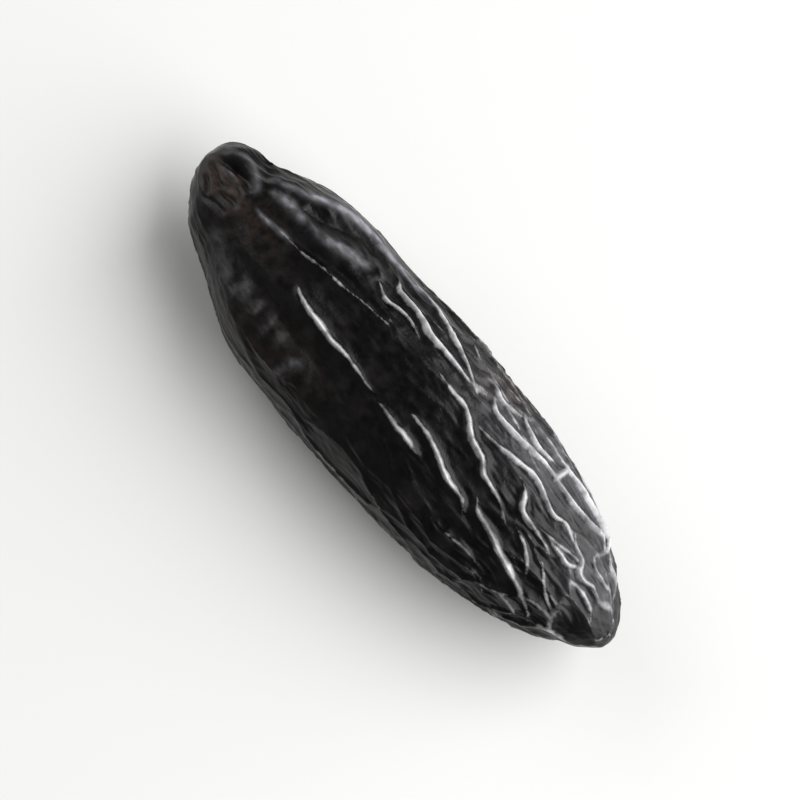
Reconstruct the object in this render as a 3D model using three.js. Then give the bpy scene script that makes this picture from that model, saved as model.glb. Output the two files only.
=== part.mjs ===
// A tonka bean: one dried, wrinkled seed that lies on its broad side.
// Its length runs along X, from the hilum, where the seed hung in its pod, at -X to the blunt end at +X.
// Its broad faces look up and down, and it rests on a small flat spot at z = 0 under its middle.
// All lengths are in millimetres.
import * as THREE from "three";

// Driving dimensions
const LENGTH = 38;
const HALF_LENGTH = LENGTH / 2;
const SQUARENESS = 0.92;
const FLAT_SPOT_DEPTH = 0.2;
const FLAT_SPOT_REACH = [5.5, 1.9];

// The smooth body, every 15 degrees along an ellipse's arc from the hilum tip to the blunt tip.
// Widths and thicknesses are the half axes that an ellipse would have in its middle to pass there.
const HALF_WIDTHS = [9, 6.9, 6, 6.2, 6.5, 6.0, 5.85, 5.9, 5.85, 5.7, 5.1, 4.8, 4.6];
const HALF_THICKNESSES = [8.0, 6.1, 5.2, 5.0, 4.85, 4.6, 4.5, 4.5, 4.6, 4.65, 4.5, 4.5, 4.6];
const SIDE_SHIFTS = [0.6, 0.6, 0.1, 0.23, -0.1, -0.2, 0, -0.03, 0.05, 0.27, 0.55, 0.4, 0.2];
const LIFTS = [0.9, 0.75, 0.45, 0.2, 0.05, 0, 0, 0, 0.05, 0.1, 0.2, 0.25, 0.25];

// The mesh
const RINGS = 54;
const SIDES = 108;

// Ridges of the upper face: how high and how wide each is, and its path seen from above as [along, across]
const RIDGES = [
  { height: 0.24, width: 0.24, path: [[-13.7, 0.4], [-10.1, 0.75], [-6.8, 1.3], [-2.8, 1.95]] },
  { height: 0.6, width: 0.3, path: [
    [-8.6, -0.75], [-7.9, -1.1], [-6.4, -1.25], [-4.8, -1.35], [-3.3, -1.25], [-0.4, -1.35]
  ] },
  { height: 0.48, width: 0.3, path: [[-0.8, -1.65], [1.4, -1.65], [2.4, -1.5], [3.8, -1.75]] },
  { height: 0.6, width: 0.3, path: [
    [1.6, -0.5], [2.8, -0.55], [4.4, -0.9], [5.2, -1.2], [6.2, -1.4], [7.3, -1.45], [8.1, -2]
  ] },
  { height: 0.6, width: 0.3, path: [
    [7.8, -0.65], [8.6, -1.25], [10.1, -1.45], [11.5, -1.8], [14, -2.2], [15.45, -2.9]
  ] },
  { height: 0.6, width: 0.3, path: [
    [0.6, 2.3], [2.2, 2.1], [3.3, 2.1], [4.4, 1.55], [5.1, 1.15], [6.3, 0.9], [7.1, 0.4], [8.7, 0.15],
    [10.2, -0.4]
  ] },
  { height: 0.58, width: 0.3, path: [
    [-5.8, 4.5], [-5, 4], [-4.5, 3.65], [-2.8, 3.7], [-0.8, 3.35], [1.2, 3.25], [2.3, 3.3], [3.5, 3.7]
  ] },
  { height: 0.4, width: 0.32, path: [[-6, 3.2], [-5.1, 2.75], [-4.4, 2.7], [-3, 3.1], [-1.4, 2.9]] },
  { height: 0.5, width: 0.4, path: [
    [-6.8, 4.85], [-3.3, 4.85], [-1.4, 4.45], [0.2, 4.1], [2, 3.7], [3.6, 3.1]
  ] },
  { height: 0.58, width: 0.3, path: [[3.8, 4.1], [4.7, 3.45], [6.7, 3.4], [8.5, 3.65], [10, 3.65]] },
  { height: 0.54, width: 0.28, path: [[8.6, 3.7], [11.2, 3.5], [12.8, 3.5], [14, 3.75], [14.9, 3.3]] },
  { height: 0.52, width: 0.3, path: [
    [4.5, 2.1], [5.8, 2.1], [7.2, 2.35], [9, 2.6], [10.5, 2.3], [11.6, 2.2], [12.4, 2.4], [13.4, 2]
  ] },
  { height: 0.52, width: 0.3, path: [[8.8, 1.9], [9.5, 1.4], [10.3, 0.75], [11.7, 0.7], [13.1, 0.55]] },
  { height: 0.44, width: 0.28, path: [[9.7, 4.7], [9.8, 4.1], [10, 3.3]] },
  { height: 0.5, width: 0.28, path: [
    [8, 4.75], [9.6, 4.55], [11.2, 4.4], [13.2, 4.1], [14.35, 3.9], [14.9, 3.4], [14.65, 2.7]
  ] },
  { height: 0.44, width: 0.28, path: [
    [13.1, 2.4], [13.7, 2], [14.45, 1.7], [14.85, 1.2], [15.45, 1.1], [16.1, 1.3], [16.85, 1.1]
  ] },
  { height: 0.4, width: 0.3, path: [[12.7, 1], [13.5, 1], [14.2, 1], [14.6, 1.5]] },
  { height: 0.35, width: 0.3, path: [[14.65, 2.6], [15.3, 2.1], [16.1, 2], [16.85, 2]] },
  { height: 0.35, width: 0.3, path: [[10.6, 0], [11.6, -0.4], [12.4, -0.9], [13.4, -1.5]] },
  { height: 0.35, width: 0.3, path: [[13, -0.1], [14, -0.7], [14.85, -1.2], [15.75, -1.5]] },
  { height: 0.4, width: 0.32, path: [[2.2, 4.35], [3.2, 4.45], [4.1, 4.2], [5, 4.35], [5.9, 4.7]] },
  { height: 0.4, width: 0.32, path: [[5.6, 4.8], [6.5, 4.35], [8, 4.05], [9.4, 4.2]] },
  { height: 0.35, width: 0.3, path: [[15.15, 3.5], [15.75, 3], [16.55, 2.7], [17.35, 1.9]] },
  { height: 0.3, width: 0.3, path: [[14.9, 0.5], [15.75, 0.6], [16.8, 0.4], [17.6, -0.1]] },
];

// How far from a ridge the net keeps, and how much of it goes there
const RIDGE_CLEARING = 1.2;
const CLEARING_LOSS = 0.6;

// Soft folds, furrows and puckers of the upper face: a furrow has a height below zero
const FOLDS = [
  { height: 0.4, width: 1, path: [[-14.4, 2.65], [-12.25, 3.5], [-10.3, 4.4], [-7.8, 4.8], [-4.3, 4.9]] },
  { height: -0.28, width: 0.6, path: [[-12.25, 2.7], [-11.1, 3], [-9.8, 3.7], [-8.4, 4.1], [-6.3, 4.2]] },
  { height: 0.26, width: 0.6, path: [[-13.7, 2.05], [-11.8, 2], [-10.3, 2.1], [-8.8, 2.7], [-7.4, 2.7]] },
  { height: 0.2, width: 0.35, path: [[-7.4, 3.9], [-6.6, 3.6], [-5.9, 3.2]] },
  { height: -0.2, width: 0.4, path: [[-13.2, 1.15], [-11.1, 1.1], [-9.3, 1.4], [-7.3, 1.9], [-5.3, 2.1]] },
  { height: -0.2, width: 0.6, path: [[-12.4, -0.3], [-9.8, -0.15], [-7.3, 0.3], [-3.8, 0.6]] },
  { height: -0.45, width: 0.7, path: [
    [-14.85, -1.45], [-13, -2.2], [-11.3, -2.6], [-9.8, -2.7], [-6.8, -2.9], [-4.8, -2.8], [-3.3, -3.1],
    [-1.8, -3.6], [0.2, -4.1]
  ] },
  { height: -0.09, width: 0.42, path: [[-11.6, -2.5], [-11.3, -3.4], [-11, -4]] },
  { height: -0.1, width: 0.5, path: [[-10.5, -3.2], [-10, -3.85], [-9.5, -4.65]] },
  { height: -0.11, width: 0.5, path: [[-8.1, -3.1], [-8.2, -4], [-8, -5]] },
  { height: -0.07, width: 0.42, path: [[-6.8, -3.2], [-6.9, -4], [-6.4, -4.85]] },
  { height: -0.1, width: 0.5, path: [[-5.4, -3.3], [-5.1, -4.25], [-5.4, -5.1]] },
  { height: 0.12, width: 0.45, path: [[-4.8, -4.65], [-4.5, -4.25], [-3.9, -3.85]] },
  { height: -0.1, width: 0.5, path: [[-3.5, -3.5], [-3.9, -4.25], [-4.2, -5.1]] },
  { height: -0.08, width: 0.45, path: [[-2, -3.9], [-1.8, -4.65], [-2.2, -5.5]] },
  { height: 0.24, width: 0.5, path: [[-18.1, 1.35], [-17.7, 2.05], [-17, 2.55], [-16.25, 2.65]] },
  { height: -0.55, width: 0.34, path: [
    [-18.3, 0.55], [-17.6, 0.95], [-16.8, 1.15], [-15.9, 1.15], [-15.1, 0.75]
  ] },
  { height: 0.14, width: 0.3, path: [
    [-18.1, 1.15], [-17.3, 1.75], [-16.25, 1.9], [-15.1, 1.55], [-14.4, 0.65]
  ] },
  { height: -0.2, width: 0.6, path: [[-15.3, 1.85], [-15.45, 2.45], [-15.3, 3.05]] },
];

// A ridge is a broad rise with a narrow crest: the crest's share of the height, its width as a share of the
// ridge's, and the distance over which it is rounded
const CREST_SHARE = 0.8;
const CREST_WIDTH = 1;
const CREST_ROUNDING = 0.1;

// How far the paths wander off their course: along the arc, and round the bean in radians
const WANDER = [0.002, 0.015];

// The net of lesser ridges that covers the rest of the bean: long cells, whose borders are lower where they
// run across it, each with a height of its own
const NET_CELLS = 300;
const NET_SEED = 20117;
const NET_DRAWS = 12;
const NET_STRETCH = 3.4;
const NET_REACH = 6;
const NET_HEIGHT = 0.56;
const NET_WIDTH = 0.42;
const NET_SWAY = 0.4;
const NET_LEAST = 0.5;
const CROSS_LOSS = 0.45;

// Slow swells of the whole skin, and how far the skin between the ridges lies below the smooth body
const SWELL_HEIGHT = 0.16;
const SKIN_DEPTH = 0.08;

// Where the net is weak on the upper face: places, how far they reach, and how much of the net goes there
const CALM_PLACES = [
  { place: [-5, -2], reach: [12.5, 4.2], loss: 0.9 },
  { place: [-10.5, 3.5], reach: [5, 2.5], loss: 0.8 },
];

// The hilum: a dished oval scar on the upper side of the snout, with a collar that is highest towards the
// middle of the bean. Its edge has lobes, and the list of folds has the furrow and the rim on its +Y side.
const HILUM_PLACE = [-17, 0.1];
const HILUM_RADIUS = 1.7;
const HILUM_SHAPE = new THREE.Vector3(1.3, 0.8, 1);
const HILUM_LOBES = 0.15;
const DISH_RADIUS = 1.1;
const DISH_DEPTH = 0.1;
const COLLAR_HEIGHT = 0.06;
const COLLAR_WIDTH = 0.4;
const SNOUT_REACH = 5;

// The relief fades towards the blunt tip, over a distance and to a share of its height
const TIP_REACH = 3;
const TIP_SHARE = 0.4;

// Draws from 0 to 1, the same each run
function drawsFrom(seed) {
  let state = seed;
  return () => {
    state = (state * 16807) % 2147483647;
    return state / 2147483647;
  };
}

// A value of an evenly spaced table at t from 0 to 1, on a smooth curve through all its numbers
function onCurve(table, t) {
  const last = table.length - 1;
  const place = THREE.MathUtils.clamp(t, 0, 1) * last;
  const index = Math.min(Math.floor(place), last - 1);
  const f = place - index;
  const before = table[Math.max(index - 1, 0)];
  const start = table[index];
  const end = table[index + 1];
  const after = table[Math.min(index + 2, last)];
  const startSlope = (end - before) / 2;
  const endSlope = (after - start) / 2;
  return (
    (2 * start - 2 * end + startSlope + endSlope) * f ** 3 +
    (3 * end - 3 * start - 2 * startSlope - endSlope) * f ** 2 +
    startSlope * f +
    start
  );
}

// A point of the smooth body: arc runs from 0 at the hilum tip to 1 at the blunt tip, and turn goes round
// the bean in radians, from +Y over the top
function bodyPoint(arc, turn) {
  const sine = Math.sin(arc * Math.PI);
  const squared = (x) => Math.sign(x) * Math.abs(x) ** SQUARENESS;
  return new THREE.Vector3(
    -HALF_LENGTH * Math.cos(arc * Math.PI),
    onCurve(SIDE_SHIFTS, arc) + onCurve(HALF_WIDTHS, arc) * sine * squared(Math.cos(turn)),
    onCurve(LIFTS, arc) + onCurve(HALF_THICKNESSES, arc) * sine * squared(Math.sin(turn)),
  );
}

// The smooth body's outward direction there
function bodyNormal(arc, turn) {
  const step = 1e-3;
  const inside = THREE.MathUtils.clamp(arc, step, 1 - step);
  const along = bodyPoint(inside + step, turn).sub(bodyPoint(inside - step, turn));
  const around = bodyPoint(inside, turn + step).sub(bodyPoint(inside, turn - step));
  return around.cross(along).normalize();
}

// The point of the smooth body's upper face at a place seen from above
function upperPoint(x, y) {
  const arc = Math.acos(-x / HALF_LENGTH) / Math.PI;
  const share = (y - onCurve(SIDE_SHIFTS, arc)) / (onCurve(HALF_WIDTHS, arc) * Math.sin(arc * Math.PI));
  const cosine = Math.sign(share) * Math.min(Math.abs(share), 1) ** (1 / SQUARENESS);
  return bodyPoint(arc, Math.acos(cosine));
}

// A field that varies smoothly at random, about from -1 to 1: sine waves of many directions added up
function smoothField(seed, wavelength, stretch) {
  const draw = drawsFrom(seed);
  const waves = Array.from({ length: 14 }, () => {
    const up = 2 * draw() - 1;
    const around = 2 * Math.PI * draw();
    const flat = Math.sqrt(1 - up * up);
    const direction = new THREE.Vector3((flat * Math.cos(around)) / stretch, flat * Math.sin(around), up);
    direction.multiplyScalar((2 * Math.PI) / (wavelength * (0.7 + 0.7 * draw())));
    return { direction, phase: 2 * Math.PI * draw() };
  });
  return (p) => {
    const sum = waves.reduce((total, w) => total + Math.sin(w.direction.dot(p) + w.phase), 0);
    return sum / Math.sqrt(waves.length);
  };
}

// Steps along a path on the upper face, each with the share of the height that it has there
function pathOnBody(path) {
  const steps = path.length * 6;
  const xs = path.map((p) => p[0]);
  const ys = path.map((p) => p[1]);
  return Array.from({ length: steps + 1 }, (_, i) => ({
    point: upperPoint(onCurve(xs, i / steps), onCurve(ys, i / steps)),
    share: Math.sin((Math.PI * i) / steps) ** 0.85,
  }));
}

// How far p is from a stepped path, and the height share at the nearest place
function nearestOn(steps, p) {
  let best = { distance: Infinity, share: 0 };
  for (let i = 1; i < steps.length; i++) {
    const start = steps[i - 1];
    const end = steps[i];
    const line = end.point.clone().sub(start.point);
    const f = THREE.MathUtils.clamp(p.clone().sub(start.point).dot(line) / line.lengthSq(), 0, 1);
    const distance = p.distanceTo(line.multiplyScalar(f).add(start.point));
    if (distance < best.distance) best = { distance, share: start.share + f * (end.share - start.share) };
  }
  return best;
}

const foldProfile = (distance, width) => Math.exp(-((distance / width) ** 2));

function ridgeProfile(distance, width) {
  const fromCrest = Math.hypot(distance, CREST_ROUNDING) - CREST_ROUNDING;
  const crest = Math.exp(-fromCrest / (CREST_WIDTH * width));
  return CREST_SHARE * crest + (1 - CREST_SHARE) * foldProfile(distance, 2 * width);
}

// Space squeezed lengthwise, in which the net's cells are as long as they are wide
const squeezed = (p) => new THREE.Vector3(p.x / NET_STRETCH, p.y, p.z);

// Cell centres for the net, spread evenly: each is the farthest of a few draws from those before it
function netCells() {
  const draw = drawsFrom(NET_SEED);
  const centres = [];
  while (centres.length < NET_CELLS) {
    let best = { room: -1 };
    for (let i = 0; i < NET_DRAWS; i++) {
      const arc = Math.acos(1 - 2 * draw()) / Math.PI;
      const place = squeezed(bodyPoint(arc, 2 * Math.PI * draw()));
      const room = centres.reduce((least, c) => Math.min(least, c.distanceTo(place)), Infinity);
      if (room > best.room) best = { place, room };
    }
    centres.push(best.place);
  }
  return centres;
}

const cells = netCells();
const sways = [31, 32, 33].map((seed) => smoothField(seed, 5, 2.2));
const wanders = [61, 62].map((seed) => smoothField(seed, 2.4, 1.5));
const netStrength = smoothField(41, 6, 1.8);
const swells = smoothField(51, 7, 1.6);
const ridgeStrength = smoothField(71, 3.5, 2);
const ridgePaths = RIDGES.map((r) => ({ ...r, steps: pathOnBody(r.path) }));
const foldPaths = FOLDS.map((r) => ({ ...r, steps: pathOnBody(r.path) }));
const hilum = upperPoint(...HILUM_PLACE);

// A draw from 0 to 1 that belongs to the border between cells i and j
const borderDraw = (i, j) => (((i + j) * 7919 + i * j * 271) % 997) / 997;

// The net at p, from 0 on a cell's floor to 1 on a full crest
function netCrest(p) {
  const q = squeezed(p).add(new THREE.Vector3(...sways.map((field) => NET_SWAY * field(p))));
  const squares = cells.map((c) => c.distanceToSquared(q));
  const least = Math.min(...squares);
  const own = squares.indexOf(least);
  let crest = 0;
  cells.forEach((c, i) => {
    const gap = c.distanceTo(cells[own]);
    if (i === own || gap > NET_REACH) return;
    const across = ((c.x - cells[own].x) / gap) ** 2;
    const height = (1 - CROSS_LOSS * across) * THREE.MathUtils.lerp(NET_LEAST, 1, borderDraw(i, own));
    crest = Math.max(crest, height * ridgeProfile((squares[i] - least) / (2 * gap), NET_WIDTH));
  });
  return crest;
}

// How near p is to a place seen from above, from 0 far off to 1 there
function nearPlace(p, [x, y], [reachX, reachY], power) {
  return Math.exp(-(Math.abs((p.x - x) / reachX) ** power) - Math.abs((p.y - y) / reachY) ** power);
}

// The scar's dish and collar
function hilumRelief(p, fromHilum) {
  const angle = Math.atan2(p.y - hilum.y, p.x - hilum.x) + 0.3 * wanders[0](p);
  const reach = fromHilum * (1 + HILUM_LOBES * Math.sin(3 * angle + 0.5));
  const dish = Math.exp(-((reach / DISH_RADIUS) ** 4));
  const collar = (0.5 + 0.5 * Math.cos(angle - 1)) * foldProfile(reach - HILUM_RADIUS, COLLAR_WIDTH);
  return COLLAR_HEIGHT * collar - DISH_DEPTH * dish;
}

// How far the skin stands out of the smooth body at an arc and a turn
function relief(arc, turn) {
  const p = bodyPoint(arc, turn);
  const wandered = bodyPoint(arc + WANDER[0] * wanders[0](p), turn + WANDER[1] * wanders[1](p));
  const ridgeHeight = 0.85 + 0.15 * ridgeStrength(p);
  let crest = 0;
  let clearing = 0;
  for (const r of ridgePaths) {
    const { distance, share } = nearestOn(r.steps, wandered);
    crest = Math.max(crest, r.height * ridgeHeight * share * ridgeProfile(distance, r.width));
    clearing = Math.max(clearing, share * foldProfile(distance, RIDGE_CLEARING));
  }
  const fromHilum = p.clone().sub(hilum).divide(HILUM_SHAPE).length();
  const snout = THREE.MathUtils.smoothstep(fromHilum, HILUM_RADIUS, SNOUT_REACH);
  const growth = 0.7 + 0.3 * netStrength(p) + (0.2 * p.x) / HALF_LENGTH;
  const upper = THREE.MathUtils.smoothstep(p.z, -1, 2);
  let strength = THREE.MathUtils.clamp(growth, 0.2, 1) * (1 - CLEARING_LOSS * clearing);
  strength *= 0.3 + 0.7 * snout;
  for (const { place, reach, loss } of CALM_PLACES) {
    strength *= 1 - loss * upper * nearPlace(p, place, reach, 4);
  }
  let height = Math.max(crest, NET_HEIGHT * strength * netCrest(p)) - SKIN_DEPTH * snout;
  for (const r of foldPaths) {
    const { distance, share } = nearestOn(r.steps, wandered);
    height += r.height * share * foldProfile(distance, r.width);
  }
  height += SWELL_HEIGHT * swells(p);
  height += hilumRelief(p, fromHilum);
  const under = p.z < 0 ? nearPlace(p, [0, 0], FLAT_SPOT_REACH, 4) : 0;
  const fromTip = THREE.MathUtils.smoothstep(HALF_LENGTH - p.x, 0, TIP_REACH);
  return height * (1 - under) * THREE.MathUtils.lerp(TIP_SHARE, 1, fromTip);
}

// Arcs that space the rings evenly along the body's outline
function evenArcs(count) {
  const fine = 2000;
  const lengths = [0];
  for (let i = 1; i <= fine; i++) {
    const step = bodyPoint(i / fine, Math.PI / 4).distanceTo(bodyPoint((i - 1) / fine, Math.PI / 4));
    lengths.push(lengths[i - 1] + step);
  }
  const arcs = [];
  let i = 0;
  for (let ring = 1; ring <= count; ring++) {
    const wanted = (lengths[fine] * ring) / (count + 1);
    while (lengths[i] < wanted) i++;
    arcs.push((i - (lengths[i] - wanted) / (lengths[i] - lengths[i - 1])) / fine);
  }
  return arcs;
}

// The skin's points from tip to tip, with how far each stands out
function skinPoints() {
  const places = [[0, 0]];
  for (const arc of evenArcs(RINGS)) {
    for (let side = 0; side < SIDES; side++) places.push([arc, (2 * Math.PI * side) / SIDES]);
  }
  places.push([1, 0]);
  const heights = places.map((place) => relief(...place));
  const points = places.map((place, i) => {
    const outwards = bodyNormal(...place).multiplyScalar(heights[i]);
    return bodyPoint(...place).add(outwards);
  });
  return { points, heights };
}

function beanGeometry() {
  const { points, heights } = skinPoints();
  const box = new THREE.Box3().setFromPoints(points);
  const middle = box.getCenter(new THREE.Vector3());
  const floor = bodyPoint(0.5, -Math.PI / 2).z + FLAT_SPOT_DEPTH;
  for (const p of points) p.set(p.x - middle.x, p.y - middle.y, Math.max(p.z - floor, 0));

  // Each quad is split along the diagonal whose ends stand out more, so that crests stay whole
  const faces = [];
  const end = points.length - 1;
  const at = (ring, side) => 1 + ring * SIDES + (side % SIDES);
  for (let side = 0; side < SIDES; side++) {
    faces.push(0, at(0, side + 1), at(0, side));
    faces.push(end, at(RINGS - 1, side), at(RINGS - 1, side + 1));
    for (let ring = 0; ring < RINGS - 1; ring++) {
      const [a, b] = [at(ring, side), at(ring, side + 1)];
      const [c, d] = [at(ring + 1, side), at(ring + 1, side + 1)];
      if (heights[a] + heights[d] > heights[b] + heights[c]) faces.push(a, b, d, a, d, c);
      else faces.push(a, b, c, b, d, c);
    }
  }
  const geometry = new THREE.BufferGeometry().setFromPoints(points);
  geometry.setIndex(faces);
  geometry.computeVertexNormals();
  return geometry;
}

const skin = new THREE.MeshStandardMaterial({ color: 0x171312, roughness: 0.42, metalness: 0 });
const bean = new THREE.Mesh(beanGeometry(), skin);
bean.name = "bean";

const part = new THREE.Group();
part.add(bean);
export default part;
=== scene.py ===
# A tonka bean: one dried, wrinkled seed on a pale floor, seen from above.
# Its form follows the same dimensions and formulas as the part's solid, in millimetres, with a finer skin.
# X runs from the hilum end to the blunt end, Y across the broad faces and Z up.
import math

import bpy
import numpy as np
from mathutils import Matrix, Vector


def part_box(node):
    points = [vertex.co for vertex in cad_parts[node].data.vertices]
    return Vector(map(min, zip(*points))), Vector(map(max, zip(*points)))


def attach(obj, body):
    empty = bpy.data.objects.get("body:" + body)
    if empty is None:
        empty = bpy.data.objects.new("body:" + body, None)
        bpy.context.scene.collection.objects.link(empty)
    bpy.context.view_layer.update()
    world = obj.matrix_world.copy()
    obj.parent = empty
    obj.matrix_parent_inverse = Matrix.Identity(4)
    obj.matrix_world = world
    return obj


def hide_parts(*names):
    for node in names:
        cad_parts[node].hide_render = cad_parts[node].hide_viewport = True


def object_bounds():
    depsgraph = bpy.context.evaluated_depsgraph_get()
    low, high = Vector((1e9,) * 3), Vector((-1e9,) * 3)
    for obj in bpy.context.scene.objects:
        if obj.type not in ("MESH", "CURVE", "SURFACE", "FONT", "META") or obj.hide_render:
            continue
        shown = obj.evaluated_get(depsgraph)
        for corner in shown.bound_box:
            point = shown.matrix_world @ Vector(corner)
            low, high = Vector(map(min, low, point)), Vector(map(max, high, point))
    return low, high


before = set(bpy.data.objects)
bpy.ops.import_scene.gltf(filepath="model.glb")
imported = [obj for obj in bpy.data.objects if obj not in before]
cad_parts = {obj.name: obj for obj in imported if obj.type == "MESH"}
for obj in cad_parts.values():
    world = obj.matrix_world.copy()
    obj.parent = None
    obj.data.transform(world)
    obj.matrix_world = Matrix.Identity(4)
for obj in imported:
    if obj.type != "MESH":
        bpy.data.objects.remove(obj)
cad_low, cad_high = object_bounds()

# Driving dimensions of the bean: its length, the power that squares its cross-section, and its flat spot
LENGTH = 38
HALF_LENGTH = LENGTH / 2
SQUARENESS = 0.92
FLAT_SPOT_DEPTH = 0.2
FLAT_SPOT_REACH = (5.5, 1.9)

# The smooth body, every 15 degrees along an ellipse's arc from the hilum tip to the blunt tip
HALF_WIDTHS = [9, 6.9, 6, 6.2, 6.5, 6.0, 5.85, 5.9, 5.85, 5.7, 5.1, 4.8, 4.6]
HALF_THICKNESSES = [8.0, 6.1, 5.2, 5.0, 4.85, 4.6, 4.5, 4.5, 4.6, 4.65, 4.5, 4.5, 4.6]
SIDE_SHIFTS = [0.6, 0.6, 0.1, 0.23, -0.1, -0.2, 0, -0.03, 0.05, 0.27, 0.55, 0.4, 0.2]
LIFTS = [0.9, 0.75, 0.45, 0.2, 0.05, 0, 0, 0, 0.05, 0.1, 0.2, 0.25, 0.25]

# The fine mesh: its rings, the points round each, and the steps in which the outline is measured to space
# the rings. The relief is worked out for so many points at a time.
RINGS = 252
SIDES = 392
OUTLINE_STEPS = 2000
PART_SIZE = 3000

# The factor and the modulus of the random draws
DRAW_FACTOR = 16807
DRAW_MODULUS = 2147483647

# A random field: how many waves it adds up, and their wavelengths as shares of its own
FIELD_WAVES = 14
SHORTEST_WAVE = 0.7
WAVE_SPREAD = 0.7

# A path has so many steps for each of its points, and what follows it tapers off to its ends by a power
PATH_STEPS = 6
PATH_TAPER = 0.85

# The power that a place's effect fades by: soft, or level and then steep
SOFT = 2
FIRM = 4

# The upper face fades in between these heights
UPPER_FACE = (-1, 2)

# Ridges of the upper face: how high and how wide each is, and its path seen from above as (along, across)
RIDGES = [
    (0.24, 0.24, [(-13.7, 0.4), (-10.1, 0.75), (-6.8, 1.3), (-2.8, 1.95)]),
    (0.6, 0.3, [(-8.6, -0.75), (-7.9, -1.1), (-6.4, -1.25), (-4.8, -1.35), (-3.3, -1.25), (-0.4, -1.35)]),
    (0.48, 0.3, [(-0.8, -1.65), (1.4, -1.65), (2.4, -1.5), (3.8, -1.75)]),
    (0.6, 0.3, [(1.6, -0.5), (2.8, -0.55), (4.4, -0.9), (5.2, -1.2), (6.2, -1.4), (7.3, -1.45), (8.1, -2)]),
    (0.6, 0.3, [(7.8, -0.65), (8.6, -1.25), (10.1, -1.45), (11.5, -1.8), (14, -2.2), (15.45, -2.9)]),
    (0.6, 0.3, [
        (0.6, 2.3), (2.2, 2.1), (3.3, 2.1), (4.4, 1.55), (5.1, 1.15), (6.3, 0.9), (7.1, 0.4),
        (8.7, 0.15), (10.2, -0.4)
    ]),
    (0.58, 0.3, [
        (-5.8, 4.5), (-5, 4), (-4.5, 3.65), (-2.8, 3.7), (-0.8, 3.35), (1.2, 3.25), (2.3, 3.3),
        (3.5, 3.7)
    ]),
    (0.4, 0.32, [(-6, 3.2), (-5.1, 2.75), (-4.4, 2.7), (-3, 3.1), (-1.4, 2.9)]),
    (0.5, 0.4, [(-6.8, 4.85), (-3.3, 4.85), (-1.4, 4.45), (0.2, 4.1), (2, 3.7), (3.6, 3.1)]),
    (0.58, 0.3, [(3.8, 4.1), (4.7, 3.45), (6.7, 3.4), (8.5, 3.65), (10, 3.65)]),
    (0.54, 0.28, [(8.6, 3.7), (11.2, 3.5), (12.8, 3.5), (14, 3.75), (14.9, 3.3)]),
    (0.52, 0.3, [
        (4.5, 2.1), (5.8, 2.1), (7.2, 2.35), (9, 2.6), (10.5, 2.3), (11.6, 2.2), (12.4, 2.4), (13.4, 2)
    ]),
    (0.52, 0.3, [(8.8, 1.9), (9.5, 1.4), (10.3, 0.75), (11.7, 0.7), (13.1, 0.55)]),
    (0.44, 0.28, [(9.7, 4.7), (9.8, 4.1), (10, 3.3)]),
    (0.5, 0.28, [
        (8, 4.75), (9.6, 4.55), (11.2, 4.4), (13.2, 4.1), (14.35, 3.9), (14.9, 3.4), (14.65, 2.7)
    ]),
    (0.44, 0.28, [
        (13.1, 2.4), (13.7, 2), (14.45, 1.7), (14.85, 1.2), (15.45, 1.1), (16.1, 1.3), (16.85, 1.1)
    ]),
    (0.4, 0.3, [(12.7, 1), (13.5, 1), (14.2, 1), (14.6, 1.5)]),
    (0.35, 0.3, [(14.65, 2.6), (15.3, 2.1), (16.1, 2), (16.85, 2)]),
    (0.35, 0.3, [(10.6, 0), (11.6, -0.4), (12.4, -0.9), (13.4, -1.5)]),
    (0.35, 0.3, [(13, -0.1), (14, -0.7), (14.85, -1.2), (15.75, -1.5)]),
    (0.4, 0.32, [(2.2, 4.35), (3.2, 4.45), (4.1, 4.2), (5, 4.35), (5.9, 4.7)]),
    (0.4, 0.32, [(5.6, 4.8), (6.5, 4.35), (8, 4.05), (9.4, 4.2)]),
    (0.35, 0.3, [(15.15, 3.5), (15.75, 3), (16.55, 2.7), (17.35, 1.9)]),
    (0.3, 0.3, [(14.9, 0.5), (15.75, 0.6), (16.8, 0.4), (17.6, -0.1)]),
]

# The ridges' heights vary along them, as shares and by a field: its seed, its wavelength and its stretch
# along the bean
RIDGE_EVENNESS = 0.85
RIDGE_VARIATION = 0.15
RIDGE_FIELD = (71, 3.5, 2)

# Fine creases of the hilum's scar and a small rise between them, in the same form as the ridges
CREASES = [
    (-0.2, 0.16, [(-18.4, 0.15), (-17.7, 0.05), (-17, -0.25), (-16.5, -0.15)]),
    (-0.16, 0.14, [(-18.1, -0.55), (-17.4, -0.75), (-16.7, -1.25)]),
    (-0.12, 0.14, [(-17.5, 0.55), (-16.7, 0.4), (-15.8, 0.45), (-15.2, 0.15)]),
    (-0.14, 0.15, [(-16.5, -0.55), (-15.55, -0.35), (-14.85, -0.55)]),
    (-0.12, 0.16, [(-16.9, -1.55), (-16.05, -1.25), (-14.95, -1.15)]),
    (0.1, 0.18, [(-17.1, 0), (-16.7, 0.1), (-16.25, 0.05)]),
]

# How far from a ridge the net keeps, and how much of it goes there
RIDGE_CLEARING = 1.2
CLEARING_LOSS = 0.6

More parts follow.
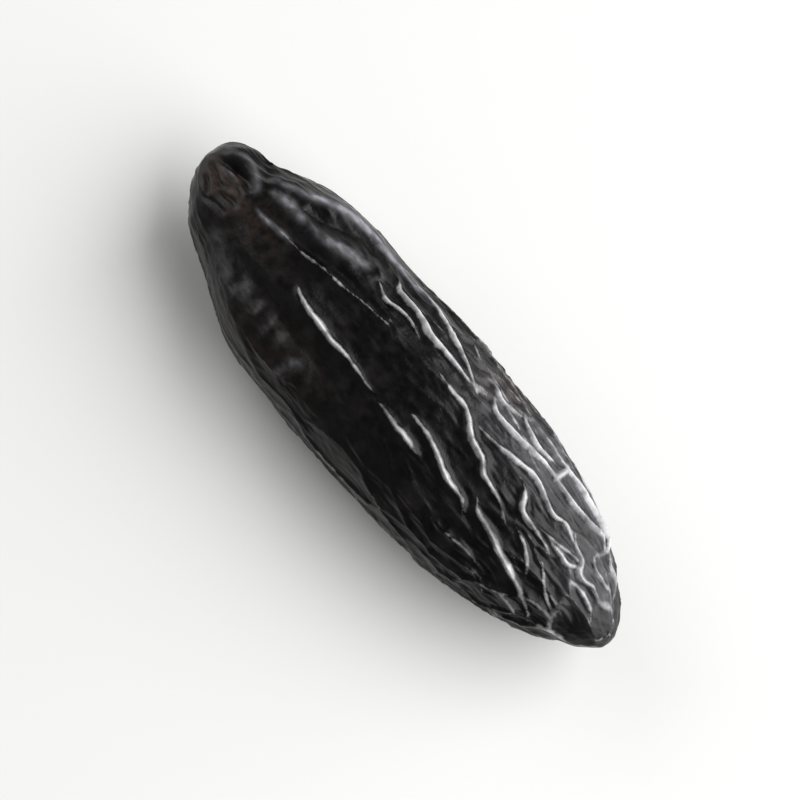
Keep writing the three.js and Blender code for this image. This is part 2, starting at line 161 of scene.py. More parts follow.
# Soft folds, furrows and puckers of the upper face: a furrow has a height below zero
FOLDS = [
    (0.4, 1, [(-14.4, 2.65), (-12.25, 3.5), (-10.3, 4.4), (-7.8, 4.8), (-4.3, 4.9)]),
    (-0.28, 0.6, [(-12.25, 2.7), (-11.1, 3), (-9.8, 3.7), (-8.4, 4.1), (-6.3, 4.2)]),
    (0.26, 0.6, [(-13.7, 2.05), (-11.8, 2), (-10.3, 2.1), (-8.8, 2.7), (-7.4, 2.7)]),
    (0.2, 0.35, [(-7.4, 3.9), (-6.6, 3.6), (-5.9, 3.2)]),
    (-0.2, 0.4, [(-13.2, 1.15), (-11.1, 1.1), (-9.3, 1.4), (-7.3, 1.9), (-5.3, 2.1)]),
    (-0.2, 0.6, [(-12.4, -0.3), (-9.8, -0.15), (-7.3, 0.3), (-3.8, 0.6)]),
    (-0.45, 0.7, [
        (-14.85, -1.45), (-13, -2.2), (-11.3, -2.6), (-9.8, -2.7), (-6.8, -2.9), (-4.8, -2.8),
        (-3.3, -3.1), (-1.8, -3.6), (0.2, -4.1)
    ]),
    (-0.09, 0.42, [(-11.6, -2.5), (-11.3, -3.4), (-11, -4)]),
    (-0.1, 0.5, [(-10.5, -3.2), (-10, -3.85), (-9.5, -4.65)]),
    (-0.11, 0.5, [(-8.1, -3.1), (-8.2, -4), (-8, -5)]),
    (-0.07, 0.42, [(-6.8, -3.2), (-6.9, -4), (-6.4, -4.85)]),
    (-0.1, 0.5, [(-5.4, -3.3), (-5.1, -4.25), (-5.4, -5.1)]),
    (0.12, 0.45, [(-4.8, -4.65), (-4.5, -4.25), (-3.9, -3.85)]),
    (-0.1, 0.5, [(-3.5, -3.5), (-3.9, -4.25), (-4.2, -5.1)]),
    (-0.08, 0.45, [(-2, -3.9), (-1.8, -4.65), (-2.2, -5.5)]),
    (0.24, 0.5, [(-18.1, 1.35), (-17.7, 2.05), (-17, 2.55), (-16.25, 2.65)]),
    (-0.55, 0.34, [(-18.3, 0.55), (-17.6, 0.95), (-16.8, 1.15), (-15.9, 1.15), (-15.1, 0.75)]),
    (0.14, 0.3, [(-18.1, 1.15), (-17.3, 1.75), (-16.25, 1.9), (-15.1, 1.55), (-14.4, 0.65)]),
    (-0.2, 0.6, [(-15.3, 1.85), (-15.45, 2.45), (-15.3, 3.05)]),
]

# A ridge is a broad rise with a narrow crest: the crest's share of the height, its width as a share of the
# ridge's, and the distance over which it is rounded
CREST_SHARE = 0.8
CREST_WIDTH = 0.42
CREST_ROUNDING = 0.05

# A crest's grey line, partly rubbed wear and partly a painted highlight, is full on a ridge of this height
# or a net of this strength. It narrows by so much on the lowest, and widens by so much in the greyer
# patches.
TALL_RIDGE = 0.5
STRONG_NET = 1.2
LINE_FADE = 0.2
LINE_GAIN = 0.08

# Soft grey bands of painted sheen along folds, puckers and the scar's rim: how grey and how wide each
# is, and its path
PAINTED_SHEEN_BANDS = [
    (1, 0.24, [(-15.3, 2.25), (-12.5, 3.4), (-10.3, 4.35), (-7.8, 4.75), (-4.3, 4.85), (0.2, 5)]),
    (0.5, 0.15, [(-14.2, 0.33), (-12.7, 0.48), (-10.9, 0.66)]),
    (0.6, 0.26, [(-14.5, 1.8), (-13.2, 2.1), (-12.2, 2), (-11, 2.1)]),
    (0.5, 0.3, [(-11.3, 2.1), (-9.3, 2.5), (-7.8, 3.1), (-6.6, 3.5)]),
    (0.16, 0.5, [(-15.2, -2.2), (-13.8, -2.9), (-12, -3.6), (-10.6, -4.3)]),
    (0.13, 0.3, [(-11.9, -2.6), (-10.8, -3.1), (-10.3, -4)]),
    (0.18, 0.2, [(-9.8, -3), (-9.4, -3.3), (-9.2, -3.9)]),
    (0.12, 0.26, [(-8.6, -2.9), (-7.9, -3.5), (-8.1, -4.5)]),
    (0.09, 0.4, [(-7.1, -3.2), (-6.2, -3.8)]),
    (0.2, 0.26, [(-4.7, -3.4), (-5.3, -4.1), (-5.7, -5.1)]),
    (0.3, 0.18, [(-18.3, 1.1), (-17.4, 1.8), (-16.3, 1.95), (-15.2, 1.6), (-14.6, 0.8)]),
    (0.22, 0.16, [(-18.1, 0.4), (-17.2, 0.6), (-16.1, 0.6)]),
]

# A band's or a patch's grey is multiplied by this between the finest wrinkles, and by 1 more on a crest:
# a painted highlight on the wrinkles' crests and painted shade between them
SHEEN_BETWEEN_WRINKLES = 0.62

# Greyer patches, partly a bloom on the skin and partly a painted sheen, greyest where the skin stands out:
# where each is, how far it reaches, and how grey it is. The lowest skin has the least share of that, a
# painted shade in the hollows.
SHEEN_SHARE_IN_HOLLOWS = 0.07
BLOOM_AND_SHEEN_PATCHES = [
    ((15.5, 2.4), (2.6, 2), 1),
    ((9, 3.9), (6.5, 1.6), 0.9),
]

# How far the paths wander off their course: along the arc, and round the bean in radians. Each has a slow
# field and a share of a quicker one: the seeds, the wavelength and the stretch.
WANDER = (0.002, 0.015)
WANDER_FIELDS = ((61, 62), 2.4, 1.5)
KINK_SHARE = 0.25
KINK_FIELDS = ((64, 65), 0.9, 1.5)

# The net of lesser ridges: long cells, whose borders sway and kink, are lower where they run across the
# bean, and have heights that three primes mix from their cells' numbers
NET_CELLS = 300
NET_SEED = 20117
NET_DRAWS = 12
NET_STRETCH = 3.4
NET_REACH = 6
NET_HEIGHT = 0.56
NET_WIDTH = 0.42
NET_SWAY = 0.4
NET_SWAY_FIELDS = ((31, 32, 33), 5, 2.2)
NET_KINKS = 0.09
NET_KINK_FIELDS = ((37, 38, 39), 1.7, 2)
NET_LEAST = 0.5
CROSS_LOSS = 0.45
BORDER_PRIMES = (7919, 271, 997)

# How strong the net is: on the whole, how much that varies, what the blunt end gains, and the least
NET_GROWTH = 0.7
GROWTH_VARIATION = 0.3
GROWTH_FIELD = (41, 6, 1.8)
BLUNT_GAIN = 0.2
LEAST_GROWTH = 0.2

# The finest wrinkles, between the net's borders
WRINKLE_CELLS = 1700
WRINKLE_SEED = 733
WRINKLE_STRETCH = 3.4
WRINKLE_HEIGHT = 0.05
WRINKLE_WIDTH = 0.14
WRINKLE_SWAY = 0.22
WRINKLE_SWAY_FIELDS = ((34, 35, 36), 2.2, 1.8)

# What is left of the net and of the wrinkles on the snout, and of the wrinkles in the calm places
SNOUT_NET = 0.3
SNOUT_WRINKLES = 0.4
CALM_WRINKLES = 0.3

# Slow swells of the whole skin, and how far the skin between the ridges lies below the smooth body
SWELL_HEIGHT = 0.16
SWELL_FIELD = (51, 7, 1.6)
SKIN_DEPTH = 0.08

# Where the net is weak on the upper face: places, how far they reach, and how much of the net goes there
CALM_PLACES = [
    ((-5, -2), (12.5, 4.2), 0.9),
    ((-10.5, 3.5), (5, 2.5), 0.8),
]

# The hilum: a dished oval scar on the upper side of the snout, with a collar that is highest towards the
# middle of the bean. Its edge has lobes, and the list of folds has the furrow and the rim on its +Y side.
# The scar's rough skin ends raggedly, between two distances.
HILUM_PLACE = (-17, 0.1)
HILUM_RADIUS = 1.7
HILUM_SHAPE = (1.3, 0.8, 1)
HILUM_WANDER = 0.3
HILUM_LOBES = 0.15
LOBE_COUNT = 3
LOBE_TURN = 0.5
DISH_RADIUS = 1.1
DISH_DEPTH = 0.1
COLLAR_HEIGHT = 0.06
COLLAR_WIDTH = 0.4
COLLAR_TURN = 1
SNOUT_REACH = 5
SCAR_EDGE = (0.91, 1.69)
SCAR_RAGGEDNESS = 0.25
SCAR_EDGE_FIELD = (83, 1, 1.3)
SCAR_LUMPS = 0.08
SCAR_LUMP_FIELD = (81, 0.8, 1.5)

# The relief fades towards the blunt tip, over a distance and to a share of its height
TIP_REACH = 3
TIP_SHARE = 0.4

# Browner patches of the upper face: where each is, how far it reaches, and how brown it is
BROWN_PATCHES = [
    ((4, 5), (1.6, 1), 0.9),
    ((-14, -0.3), (2.8, 1.2), 0.5),
    ((-7, -4.2), (3.5, 1.5), 0.3),
]

# Colours of the seed coat
BLACK = (0.0015, 0.0013, 0.0013, 1)
DUSK = (0.008, 0.007, 0.0068, 1)
BROWN = (0.03, 0.019, 0.015, 1)
# The bloom's bluish grey is partly a bloom on the skin and partly a painted sheen, tinted like the cool
# light
BLOOM_AND_SHEEN_GREY = (0.22, 0.22, 0.24, 1)
# The crests' grey is partly rubbed wear and partly a painted highlight
WORN_AND_HIGHLIGHT_GREY = (0.56, 0.56, 0.57, 1)

# The skin's noises: how many lumps a metre they have, and how many finer layers
BLOTCHES = (700, 3)
MOTTLE = (1500, 3)
GRAIN = (6000, 2)

# What the noises do: the range of the noise, and the range of what it becomes
DUSKY_BLOTCHES = ((0.5, 0.7), (0, 1))
BROWN_MOTTLE = ((0.38, 0.6), (0.2, 1))
BLOOM_AND_SHEEN_MOTTLE = ((0.38, 0.6), (0.5, 1))
LINE_BLOTCHES = ((0.36, 0.56), (0.3, 1))

# The mottle frays the edge of a crest's grey line of wear and painted highlight by so many millimetres, and
# the line fades out between two distances
LINE_FRAYING = ((0.35, 0.65), (0.05, -0.05))
LINE_FADING = ((0.01, 0.2), (1, 0))

# The skin's gloss: the roughness of the wax, of the rubbed crests and of the scar
WAXY_MOTTLE = ((0.35, 0.65), (0.28, 0.4))
RUBBED_ROUGHNESS = 0.2
SCAR_ROUGHNESS = 0.5
SPECULAR_LEVEL = 0.23
BUMP_DISTANCE = 2e-5

# The floor, in metres, and its finish
FLOOR_SIZE = 3
FLOOR_GAP = 2e-5
FLOOR_COLOUR = (0.72, 0.72, 0.71, 1)
FLOOR_ROUGHNESS = 0.8

# The soft lights: name, place and size in metres, and power in watts
LIGHTS = [
    ("key", (0.25, 0.24, 0.27), (0.74, 0.50), 5.6),
    ("end", (-0.40, -0.03, 0.18), (0.45, 0.35), 1.0),
    ("left", (-0.16, -0.40, 0.30), (0.60, 0.45), 0.14),
]
WORLD_STRENGTH = 0.08

# The view: its angles in degrees, its lens in millimetres, and its distance and nearest sight in metres
CAMERA_AZIMUTH = 50.5
CAMERA_ELEVATION = 78
CAMERA_LENS = 120
CAMERA_REACH = 0.16
CAMERA_NEAR = 0.005


def draws_from(seed):
    """Draws from 0 to 1, the same each run."""
    state = seed
    while True:
        state = (state * DRAW_FACTOR) % DRAW_MODULUS
        yield state / DRAW_MODULUS


def smoothstep(x, low, high):
    """From 0 at low to 1 at high, with a smooth start and end."""
    t = np.clip((x - low) / (high - low), 0, 1)
    return t * t * (3 - 2 * t)


def faded(least, mask):
    """A share that goes from the least, where the mask is 0, to 1, where the mask is 1."""
    return least + (1 - least) * mask


def on_curve(table, t):
    """The values of an evenly spaced table at t from 0 to 1, on a smooth curve through all its numbers."""
    table = np.asarray(table, float)
    last = len(table) - 1
    place = np.clip(t, 0, 1) * last
    index = np.minimum(np.floor(place).astype(int), last - 1)
    f = place - index
    before = table[np.maximum(index - 1, 0)]
    start = table[index]
    end = table[index + 1]
    after = table[np.minimum(index + 2, last)]
    start_slope = (end - before) / 2
    end_slope = (after - start) / 2
    return (
        (2 * start - 2 * end + start_slope + end_slope) * f**3
        + (3 * end - 3 * start - 2 * start_slope - end_slope) * f**2
        + start_slope * f
        + start
    )


def squared(x):
    """A sine or cosine, bent so that a cross-section is a little squarer than an ellipse."""
    return np.sign(x) * np.abs(x) ** SQUARENESS


def body_points(arc, turn):
    """Points of the smooth body: arc runs from tip to tip, and turn goes round from +Y over the top."""
    sine = np.sin(arc * np.pi)
    x = -HALF_LENGTH * np.cos(arc * np.pi)
    y = on_curve(SIDE_SHIFTS, arc) + on_curve(HALF_WIDTHS, arc) * sine * squared(np.cos(turn))
    z = on_curve(LIFTS, arc) + on_curve(HALF_THICKNESSES, arc) * sine * squared(np.sin(turn))
    return np.stack([x, y, z], -1)


def body_normals(arc, turn):
    """The smooth body's outward directions there."""
    step = 1e-3
    inside = np.clip(arc, step, 1 - step)
    along = body_points(inside + step, turn) - body_points(inside - step, turn)
    around = body_points(inside, turn + step) - body_points(inside, turn - step)
    normal = np.cross(around, along)
    return normal / np.linalg.norm(normal, axis=-1, keepdims=True)


def upper_points(x, y):
    """The points of the smooth body's upper face at places seen from above."""
    arc = np.arccos(-x / HALF_LENGTH) / np.pi
    share = (y - on_curve(SIDE_SHIFTS, arc)) / (on_curve(HALF_WIDTHS, arc) * np.sin(arc * np.pi))
    cosine = np.sign(share) * np.minimum(np.abs(share), 1) ** (1 / SQUARENESS)
    return body_points(arc, np.arccos(cosine))


def smooth_field(p, seed, wavelength, stretch):
    """Smoothly random values at the points p, about from -1 to 1: sine waves of many directions added up."""
    draws = draws_from(seed)
    total = np.zeros(len(p))
    for _ in range(FIELD_WAVES):
        up = 2 * next(draws) - 1
        around = 2 * math.pi * next(draws)
        flat = math.sqrt(1 - up * up)
        direction = np.array([flat * math.cos(around) / stretch, flat * math.sin(around), up])
        direction *= 2 * math.pi / (wavelength * (SHORTEST_WAVE + WAVE_SPREAD * next(draws)))
        total += np.sin(p @ direction + 2 * math.pi * next(draws))
    return total / math.sqrt(FIELD_WAVES)


def smooth_fields(p, seeds, wavelength, stretch):
    """A column of smoothly random values for each seed."""
    return np.stack([smooth_field(p, seed, wavelength, stretch) for seed in seeds], -1)


def path_on_body(path):
    """Steps along a path on the upper face, each with the share of the height that it has there."""
    t = np.linspace(0, 1, len(path) * PATH_STEPS + 1)
    xs, ys = np.array(path, float).T
    return upper_points(on_curve(xs, t), on_curve(ys, t)), np.abs(np.sin(np.pi * t)) ** PATH_TAPER


def nearest_on(path, p):
    """How far the points p are from a path on the body, and the height shares at the nearest places."""
    points, shares = path_on_body(path)
    best = np.full(len(p), np.inf)
    share = np.zeros(len(p))
    for i in range(1, len(points)):
        line = points[i] - points[i - 1]
        f = np.clip((p - points[i - 1]) @ line / (line @ line), 0, 1)
        distance = np.linalg.norm(p - points[i - 1] - f[:, None] * line, axis=1)
        nearer = distance < best
        best[nearer] = distance[nearer]
        share[nearer] = (shares[i - 1] + f * (shares[i] - shares[i - 1]))[nearer]
    return best, share


def fold_profile(distance, width):
    """A soft rise, from 1 in its middle to almost 0 at twice its width."""
    return np.exp(-((distance / width) ** 2))


def ridge_profile(distance, width):
    """A narrow crest on a broad rise, 1 high in all."""
    from_crest = np.hypot(distance, CREST_ROUNDING) - CREST_ROUNDING
    crest = np.exp(-from_crest / (CREST_WIDTH * width))
    return CREST_SHARE * crest + (1 - CREST_SHARE) * fold_profile(distance, 2 * width)


def net_cells(count, seed, stretch):
    """Cell centres for a net, spread evenly: each is the farthest of a few draws from those before it."""
    draws = draws_from(seed)
    places = []
    for _ in range(count * NET_DRAWS):
        arc = math.acos(1 - 2 * next(draws)) / math.pi
        turn = 2 * math.pi * next(draws)
        places.append((arc, turn))
    arcs, turns = np.array(places).T
    candidates = (body_points(arcs, turns) / [stretch, 1, 1]).reshape(count, NET_DRAWS, 3)
    cells = np.empty((count, 3))
    cells[0] = candidates[0, 0]
    for n in range(1, count):
        room = ((candidates[n][:, None] - cells[None, :n]) ** 2).sum(-1).min(1)
        cells[n] = candidates[n, room.argmax()]
    return cells


def net_borders(cells):
    """How far apart each two cells are, and how high the border between them is."""
    between = cells[None] - cells[:, None]
    gaps = np.linalg.norm(between, axis=-1)
    np.fill_diagonal(gaps, np.inf)
    across = (between[..., 0] / gaps) ** 2
    i = np.arange(len(cells))
    sum_prime, product_prime, count = BORDER_PRIMES
    mixed = sum_prime * (i[:, None] + i) + product_prime * (i[:, None] * i)
    heights = (1 - CROSS_LOSS * across) * faded(NET_LEAST, (mixed % count) / count)
    heights[gaps > NET_REACH] = 0
    return gaps, heights


def in_parts(work, p):
    """The results of work on p, taken a few thousand points at a time to spare memory."""
    return np.concatenate([work(p[start : start + PART_SIZE]) for start in range(0, len(p), PART_SIZE)])


def net_crests(p):
    """The net at the points p: from 0 on a cell's floor to 1 on a full crest, and how far its line is."""
    cells = net_cells(NET_CELLS, NET_SEED, NET_STRETCH)
    gaps, heights = net_borders(cells)
    sway = NET_SWAY * smooth_fields(p, *NET_SWAY_FIELDS) + NET_KINKS * smooth_fields(p, *NET_KINK_FIELDS)

    def crests(q):
        squares = ((q[:, None] - cells[None]) ** 2).sum(-1)
        own = squares.argmin(1)
        distance = (squares - squares.min(1)[:, None]) / (2 * gaps[own])
        crest = (heights[own] * ridge_profile(distance, NET_WIDTH)).max(1)
        return np.stack([crest, (distance + LINE_FADE * (1 - heights[own])).min(1)], -1)

    return in_parts(crests, p / [NET_STRETCH, 1, 1] + sway).T


def wrinkle_crests(p):
    """The finest wrinkles at the points p, from 0 on a floor to 1 on a crest."""
    cells = net_cells(WRINKLE_CELLS, WRINKLE_SEED, WRINKLE_STRETCH)
    sway = WRINKLE_SWAY * smooth_fields(p, *WRINKLE_SWAY_FIELDS)

    def crests(q):
        squares = (q**2).sum(1)[:, None] - 2 * q @ cells.T + (cells**2).sum(1)
        nearest = np.argpartition(squares, 1, axis=1)[:, :2]
        pair = np.take_along_axis(squares, nearest, 1)
        gap = np.linalg.norm(cells[nearest[:, 0]] - cells[nearest[:, 1]], axis=1)
        return ridge_profile(np.abs(pair[:, 1] - pair[:, 0]) / (2 * gap), WRINKLE_WIDTH)

    return in_parts(crests, p / [WRINKLE_STRETCH, 1, 1] + sway)


def near_place(p, place, reach, power):
    """How near the points p are to a place seen from above, from 0 far off to 1 there."""
    return np.exp(-(np.abs((p[:, :2] - place) / reach) ** power).sum(1))


def patched(p, patches):
    """The strongest of some soft patches at the points p, each given by its place, reach and strength."""
    return np.max([strength * near_place(p, place, reach, SOFT) for place, reach, strength in patches], 0)


def ridge_crests(p, wandered):
    """The ridges at the points p: their height, how far their lines are, and how well they clear the net."""
    evenness = RIDGE_EVENNESS + RIDGE_VARIATION * smooth_field(p, *RIDGE_FIELD)
    crest = np.zeros(len(p))
    line = np.ones(len(p))
    clearing = np.zeros(len(p))
    for height, width, path in RIDGES:
        distance, share = nearest_on(path, wandered)
        crest = np.maximum(crest, height * evenness * share * ridge_profile(distance, width))
        line = np.minimum(line, distance + LINE_FADE * (1 - share * height / TALL_RIDGE))
        clearing = np.maximum(clearing, share * fold_profile(distance, RIDGE_CLEARING))
    return crest, line, clearing


def sheen_band_greyness(wandered):
    """How grey the soft bands of painted sheen make the skin."""
    grey = np.zeros(len(wandered))
    for greyness, width, path in PAINTED_SHEEN_BANDS:
        distance, share = nearest_on(path, wandered)
        grey = np.maximum(grey, greyness * share * fold_profile(distance, width))
    return grey


def fold_relief(wandered):
    """How far the folds, furrows, puckers and creases raise the skin."""
    height = np.zeros(len(wandered))
    for fold_height, width, path in FOLDS + CREASES:
        distance, share = nearest_on(path, wandered)
        height += fold_height * share * fold_profile(distance, width)
    return height


def hilum_relief(across, from_hilum, wander):
    """The scar's dish and collar."""
    angle = np.arctan2(across[:, 1], across[:, 0]) + HILUM_WANDER * wander
    reach = from_hilum * (1 + HILUM_LOBES * np.sin(LOBE_COUNT * angle + LOBE_TURN))
    dish = np.exp(-((reach / DISH_RADIUS) ** FIRM))
    collar = (0.5 + 0.5 * np.cos(angle - COLLAR_TURN)) * fold_profile(reach - HILUM_RADIUS, COLLAR_WIDTH)
    return COLLAR_HEIGHT * collar - DISH_DEPTH * dish


def relief(arc, turn):
    """How far the skin stands out of the smooth body, and what its material follows.

    That is how far the line of the nearest crest is, in millimetres, for its grey of wear and painted
    highlight, and how grey with bloom and painted sheen, how brown and how much of the hilum's scar the skin
    is.
    """
    p = body_points(arc, turn)
    wander = smooth_fields(p, *WANDER_FIELDS)
    offsets = np.array(WANDER) * (wander + KINK_SHARE * smooth_fields(p, *KINK_FIELDS))
    wandered = body_points(np.clip(arc + offsets[:, 0], 0, 1), turn + offsets[:, 1])
    upper = smoothstep(p[:, 2], *UPPER_FACE)
    hilum = upper_points(*np.reshape(HILUM_PLACE, (2, 1)))
    from_hilum = np.linalg.norm((p - hilum) / HILUM_SHAPE, axis=1)
    snout = smoothstep(from_hilum, HILUM_RADIUS, SNOUT_REACH)
    calm = [1 - loss * upper * near_place(p, place, reach, FIRM) for place, reach, loss in CALM_PLACES]
    liveliness = np.prod(calm, 0)

    ridges, ridge_line, clearing = ridge_crests(p, wandered)
    net, net_line = net_crests(p)
    growth = NET_GROWTH + GROWTH_VARIATION * smooth_field(p, *GROWTH_FIELD)
    growth += BLUNT_GAIN * p[:, 0] / HALF_LENGTH
    strength = np.clip(growth, LEAST_GROWTH, 1) * (1 - CLEARING_LOSS * clearing)
    strength *= faded(SNOUT_NET, snout) * liveliness
    crest = np.maximum(ridges, NET_HEIGHT * strength * net)
    wrinkle = wrinkle_crests(p)

    patch = upper * patched(p, BLOOM_AND_SHEEN_PATCHES)
    # The crests' grey line is partly rubbed wear and partly a painted highlight, and widens in the patches
    line = np.minimum(ridge_line, net_line + LINE_FADE * (STRONG_NET - strength)) - LINE_GAIN * patch
    # The bands' painted sheen, or the patches' bloom and painted sheen, least in the hollows as a painted
    # shade
    grey = np.maximum(sheen_band_greyness(wandered), patch * (SHEEN_SHARE_IN_HOLLOWS + crest / NET_HEIGHT))
    ragged = from_hilum + SCAR_RAGGEDNESS * smooth_field(p, *SCAR_EDGE_FIELD)
    scar = 1 - smoothstep(ragged, *SCAR_EDGE)

    height = crest - SKIN_DEPTH * snout + fold_relief(wandered)
    height += SWELL_HEIGHT * smooth_field(p, *SWELL_FIELD)
    height += hilum_relief(p - hilum, from_hilum, wander[:, 0])
    height += SCAR_LUMPS * smooth_field(p, *SCAR_LUMP_FIELD) * scar
    wrinkling = WRINKLE_HEIGHT * faded(SNOUT_WRINKLES, snout) * faded(CALM_WRINKLES, liveliness)
    height += wrinkling * (wrinkle - 0.5)
    height *= 1 - np.where(p[:, 2] < 0, near_place(p, (0, 0), FLAT_SPOT_REACH, FIRM), 0)
    height *= faded(TIP_SHARE, smoothstep(HALF_LENGTH - p[:, 0], 0, TIP_REACH))
    # The grey is lighter on the finest wrinkles' crests and darker between them: painted highlight and shade
    return height, {
        "line": line,
        "grey": upper * grey * (SHEEN_BETWEEN_WRINKLES + wrinkle),
        "hilum": scar,
        "brown": np.maximum(scar, upper * patched(p, BROWN_PATCHES)),
    }


def even_arcs(count):
    """Arcs that space the rings evenly along the body's outline."""
    fine = np.linspace(0, 1, OUTLINE_STEPS + 1)
    outline = body_points(fine, np.full_like(fine, math.pi / 4))
    lengths = np.concatenate([[0], np.cumsum(np.linalg.norm(np.diff(outline, axis=0), axis=1))])
    return np.interp(lengths[-1] * np.arange(1, count + 1) / (count + 1), lengths, fine)


def fitted(points):
    """The points in metres, moved and scaled a hair so that their box is that of the solid they replace."""
    low, high = (np.array(corner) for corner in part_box("bean"))
    start = points.min(0)
    return low + (points - start) * (high - low) / (points.max(0) - start)


def bean_faces():
    """Triangles at both tips and quads between the rings."""
    end = 1 + RINGS * SIDES
    last_ring = end - SIDES
    side = np.arange(SIDES)
    after = (side + 1) % SIDES
    faces = [(0, 1 + b, 1 + a) for a, b in zip(side.tolist(), after.tolist())]
    faces += [(end, last_ring + a, last_ring + b) for a, b in zip(side.tolist(), after.tolist())]
    starts = 1 + SIDES * np.arange(RINGS - 1)[:, None]
    a, b = starts + side, starts + after
    faces += np.stack([a, b, b + SIDES, a + SIDES], -1).reshape(-1, 4).tolist()
    return faces


def make_bean():
    """The fine mesh of the bean, with what its material follows kept at its points."""
    turns = 2 * math.pi * np.arange(SIDES) / SIDES
    arc = np.concatenate([[0], np.repeat(even_arcs(RINGS), SIDES), [1]])
    turn = np.concatenate([[0], np.tile(turns, RINGS), [0]])
    height, masks = relief(arc, turn)
    points = body_points(arc, turn) + body_normals(arc, turn) * height[:, None]
    floor = body_points(np.array([0.5]), np.array([-math.pi / 2]))[0, 2] + FLAT_SPOT_DEPTH
    points[:, 2] = np.maximum(points[:, 2], floor)
    mesh = bpy.data.meshes.new("tonka_bean")
    mesh.from_pydata(fitted(points).tolist(), [], bean_faces())
    mesh.shade_smooth()
    for name, values in masks.items():
        attribute = mesh.attributes.new(name, "FLOAT", "POINT")
        attribute.data.foreach_set("value", values.astype(np.float32))
    bean = bpy.data.objects.new("tonka_bean", mesh)
    bpy.context.scene.collection.objects.link(bean)
    return bean


def noise(tree, scale, detail):
    """A noise in the bean's own metres, with about so many lumps a metre."""
    place = tree.nodes.new("ShaderNodeTexCoord")
    node = tree.nodes.new("ShaderNodeTexNoise")
    node.inputs["Scale"].default_value = scale
    node.inputs["Detail"].default_value = detail
    tree.links.new(place.outputs["Object"], node.inputs["Vector"])
    return node.outputs[0]


def kept(tree, name):
    """A value that is kept at the mesh's points."""
    node = tree.nodes.new("ShaderNodeAttribute")
    node.attribute_name = name
    return node.outputs["Fac"]


def ranged(tree, value, source, target):
    """The value with one range of numbers stretched onto another."""
    node = tree.nodes.new("ShaderNodeMapRange")
    tree.links.new(value, node.inputs["Value"])
    node.inputs["From Min"].default_value, node.inputs["From Max"].default_value = source
    node.inputs["To Min"].default_value, node.inputs["To Max"].default_value = target
    return node.outputs["Result"]


def combined(tree, operation, first, second):
    """Two numbers put together by an operation, such as MULTIPLY."""
    node = tree.nodes.new("ShaderNodeMath")
    node.operation = operation
    tree.links.new(first, node.inputs[0])
    tree.links.new(second, node.inputs[1])
    return node.outputs[0]


def blend(tree, factor, first, second, kind="RGBA"):
    """A mix of two colours or numbers, each of which is a fixed value or comes from another node."""
    node = tree.nodes.new("ShaderNodeMix")
    node.data_type = kind
    sockets = [socket for socket in node.inputs if socket.enabled]
    tree.links.new(factor, sockets[0])
    for value, socket in zip((first, second), sockets[1:]):
        if isinstance(value, bpy.types.NodeSocket):
            tree.links.new(value, socket)
        else:
            socket.default_value = value
    return next(socket for socket in node.outputs if socket.enabled)


def seed_coat_material():
    """A black waxy skin: crests grey with wear and painted highlight, bloom and painted sheen, browner
    patches and scar.
    """
    material = bpy.data.materials.new("seed_coat")
    material.use_nodes = True
    tree = material.node_tree
    shader = tree.nodes["Principled BSDF"]
    blotches = noise(tree, *BLOTCHES)
    mottle = noise(tree, *MOTTLE)
    grain = noise(tree, *GRAIN)

    browned = combined(tree, "MULTIPLY", kept(tree, "brown"), ranged(tree, mottle, *BROWN_MOTTLE))
    dusky = blend(tree, ranged(tree, blotches, *DUSKY_BLOTCHES), BLACK, DUSK)
    skin = blend(tree, browned, dusky, BROWN)
    # Bloom and painted sheen in the patches and bands
    bloom_and_sheen_share = combined(tree, "MULTIPLY", kept(tree, "grey"), ranged(tree, mottle, *BLOOM_AND_SHEEN_MOTTLE))
    skin_with_sheen = blend(tree, bloom_and_sheen_share, skin, BLOOM_AND_SHEEN_GREY)
    # The crests' grey line: partly rubbed wear and partly a painted highlight
    frayed = combined(tree, "ADD", kept(tree, "line"), ranged(tree, mottle, *LINE_FRAYING))
    line_nearness = ranged(tree, frayed, *LINE_FADING)
    worn_and_highlit_line = combined(tree, "MULTIPLY", line_nearness, ranged(tree, blotches, *LINE_BLOTCHES))
    tree.links.new(blend(tree, worn_and_highlit_line, skin_with_sheen, WORN_AND_HIGHLIGHT_GREY), shader.inputs["Base Color"])

    waxy = ranged(tree, mottle, *WAXY_MOTTLE)
    polished = blend(tree, worn_and_highlit_line, waxy, RUBBED_ROUGHNESS, "FLOAT")
    roughness = blend(tree, kept(tree, "hilum"), polished, SCAR_ROUGHNESS, "FLOAT")
    tree.links.new(roughness, shader.inputs["Roughness"])
    shader.inputs["Specular IOR Level"].default_value = SPECULAR_LEVEL

    bump = tree.nodes.new("ShaderNodeBump")
    bump.inputs["Distance"].default_value = BUMP_DISTANCE
    tree.links.new(blend(tree, grain, mottle, grain, "FLOAT"), bump.inputs["Height"])
    tree.links.new(bump.outputs["Normal"], shader.inputs["Normal"])
    return material


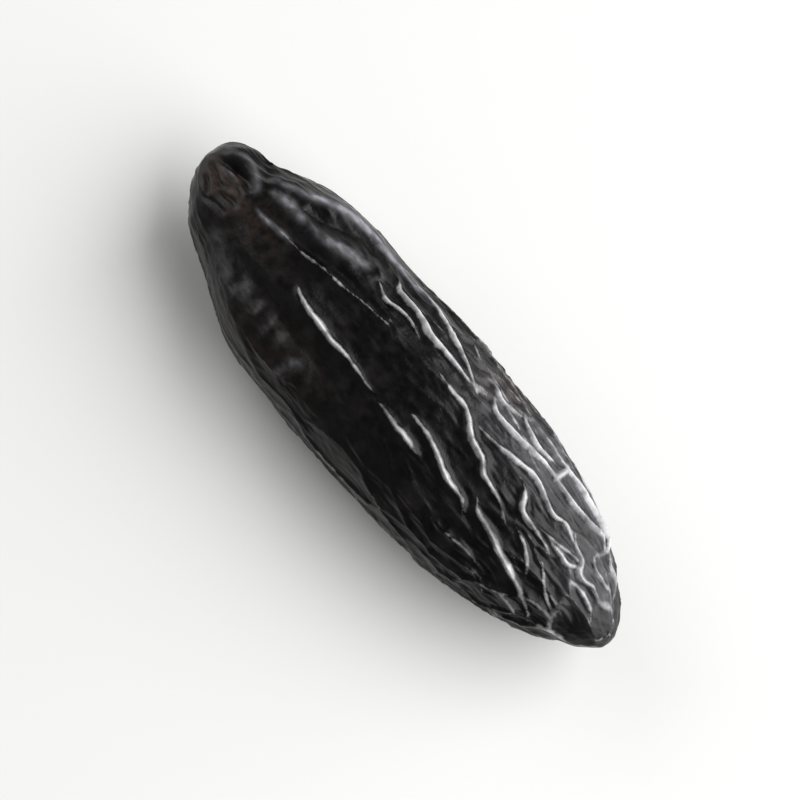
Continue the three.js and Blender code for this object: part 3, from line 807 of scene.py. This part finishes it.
def add_bean():
    """The one piece of the object, in place of its solid."""
    bean = make_bean()
    bean.data.materials.append(seed_coat_material())
    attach(bean, "root")
    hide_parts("bean")


def add_floor():
    """A plain pale floor, a hair below the bean."""
    bpy.ops.mesh.primitive_plane_add(size=FLOOR_SIZE, location=(0, 0, -FLOOR_GAP))
    floor = bpy.context.object
    floor.name = "floor"
    material = bpy.data.materials.new("floor")
    material.use_nodes = True
    shader = material.node_tree.nodes["Principled BSDF"]
    shader.inputs["Base Color"].default_value = FLOOR_COLOUR
    shader.inputs["Roughness"].default_value = FLOOR_ROUGHNESS
    floor.data.materials.append(material)


def add_light(name, place, size, power):
    """A soft rectangular light at a place, turned to the bean."""
    light = bpy.data.lights.new(name, "AREA")
    light.shape = "RECTANGLE"
    light.size, light.size_y = size
    light.energy = power
    holder = bpy.data.objects.new(name, light)
    holder.location = place
    holder.rotation_euler = (-Vector(place)).to_track_quat("-Z", "Y").to_euler()
    bpy.context.scene.collection.objects.link(holder)


def add_world():
    """A faint even light from all round."""
    world = bpy.data.worlds.new("world")
    world.use_nodes = True
    background = world.node_tree.nodes["Background"]
    background.inputs["Color"].default_value = (1, 1, 1, 1)
    background.inputs["Strength"].default_value = WORLD_STRENGTH
    bpy.context.scene.world = world


def add_camera():
    """A camera at the photograph's angle onto the bean's upper face."""
    centre = (Vector(cad_low) + Vector(cad_high)) / 2
    a, e = math.radians(CAMERA_AZIMUTH), math.radians(CAMERA_ELEVATION)
    back = Vector((math.sin(a) * math.cos(e), -math.cos(a) * math.cos(e), math.sin(e)))
    camera = bpy.data.cameras.new("camera")
    camera.lens = CAMERA_LENS
    camera.clip_start = CAMERA_NEAR
    holder = bpy.data.objects.new("camera", camera)
    holder.location = centre + back * CAMERA_REACH
    holder.rotation_euler = (-back).to_track_quat("-Z", "Y").to_euler()
    bpy.context.scene.collection.objects.link(holder)
    bpy.context.scene.camera = holder


add_bean()
add_floor()
for light in LIGHTS:
    add_light(*light)
add_world()
bpy.context.scene.view_settings.view_transform = "Standard"
add_camera()
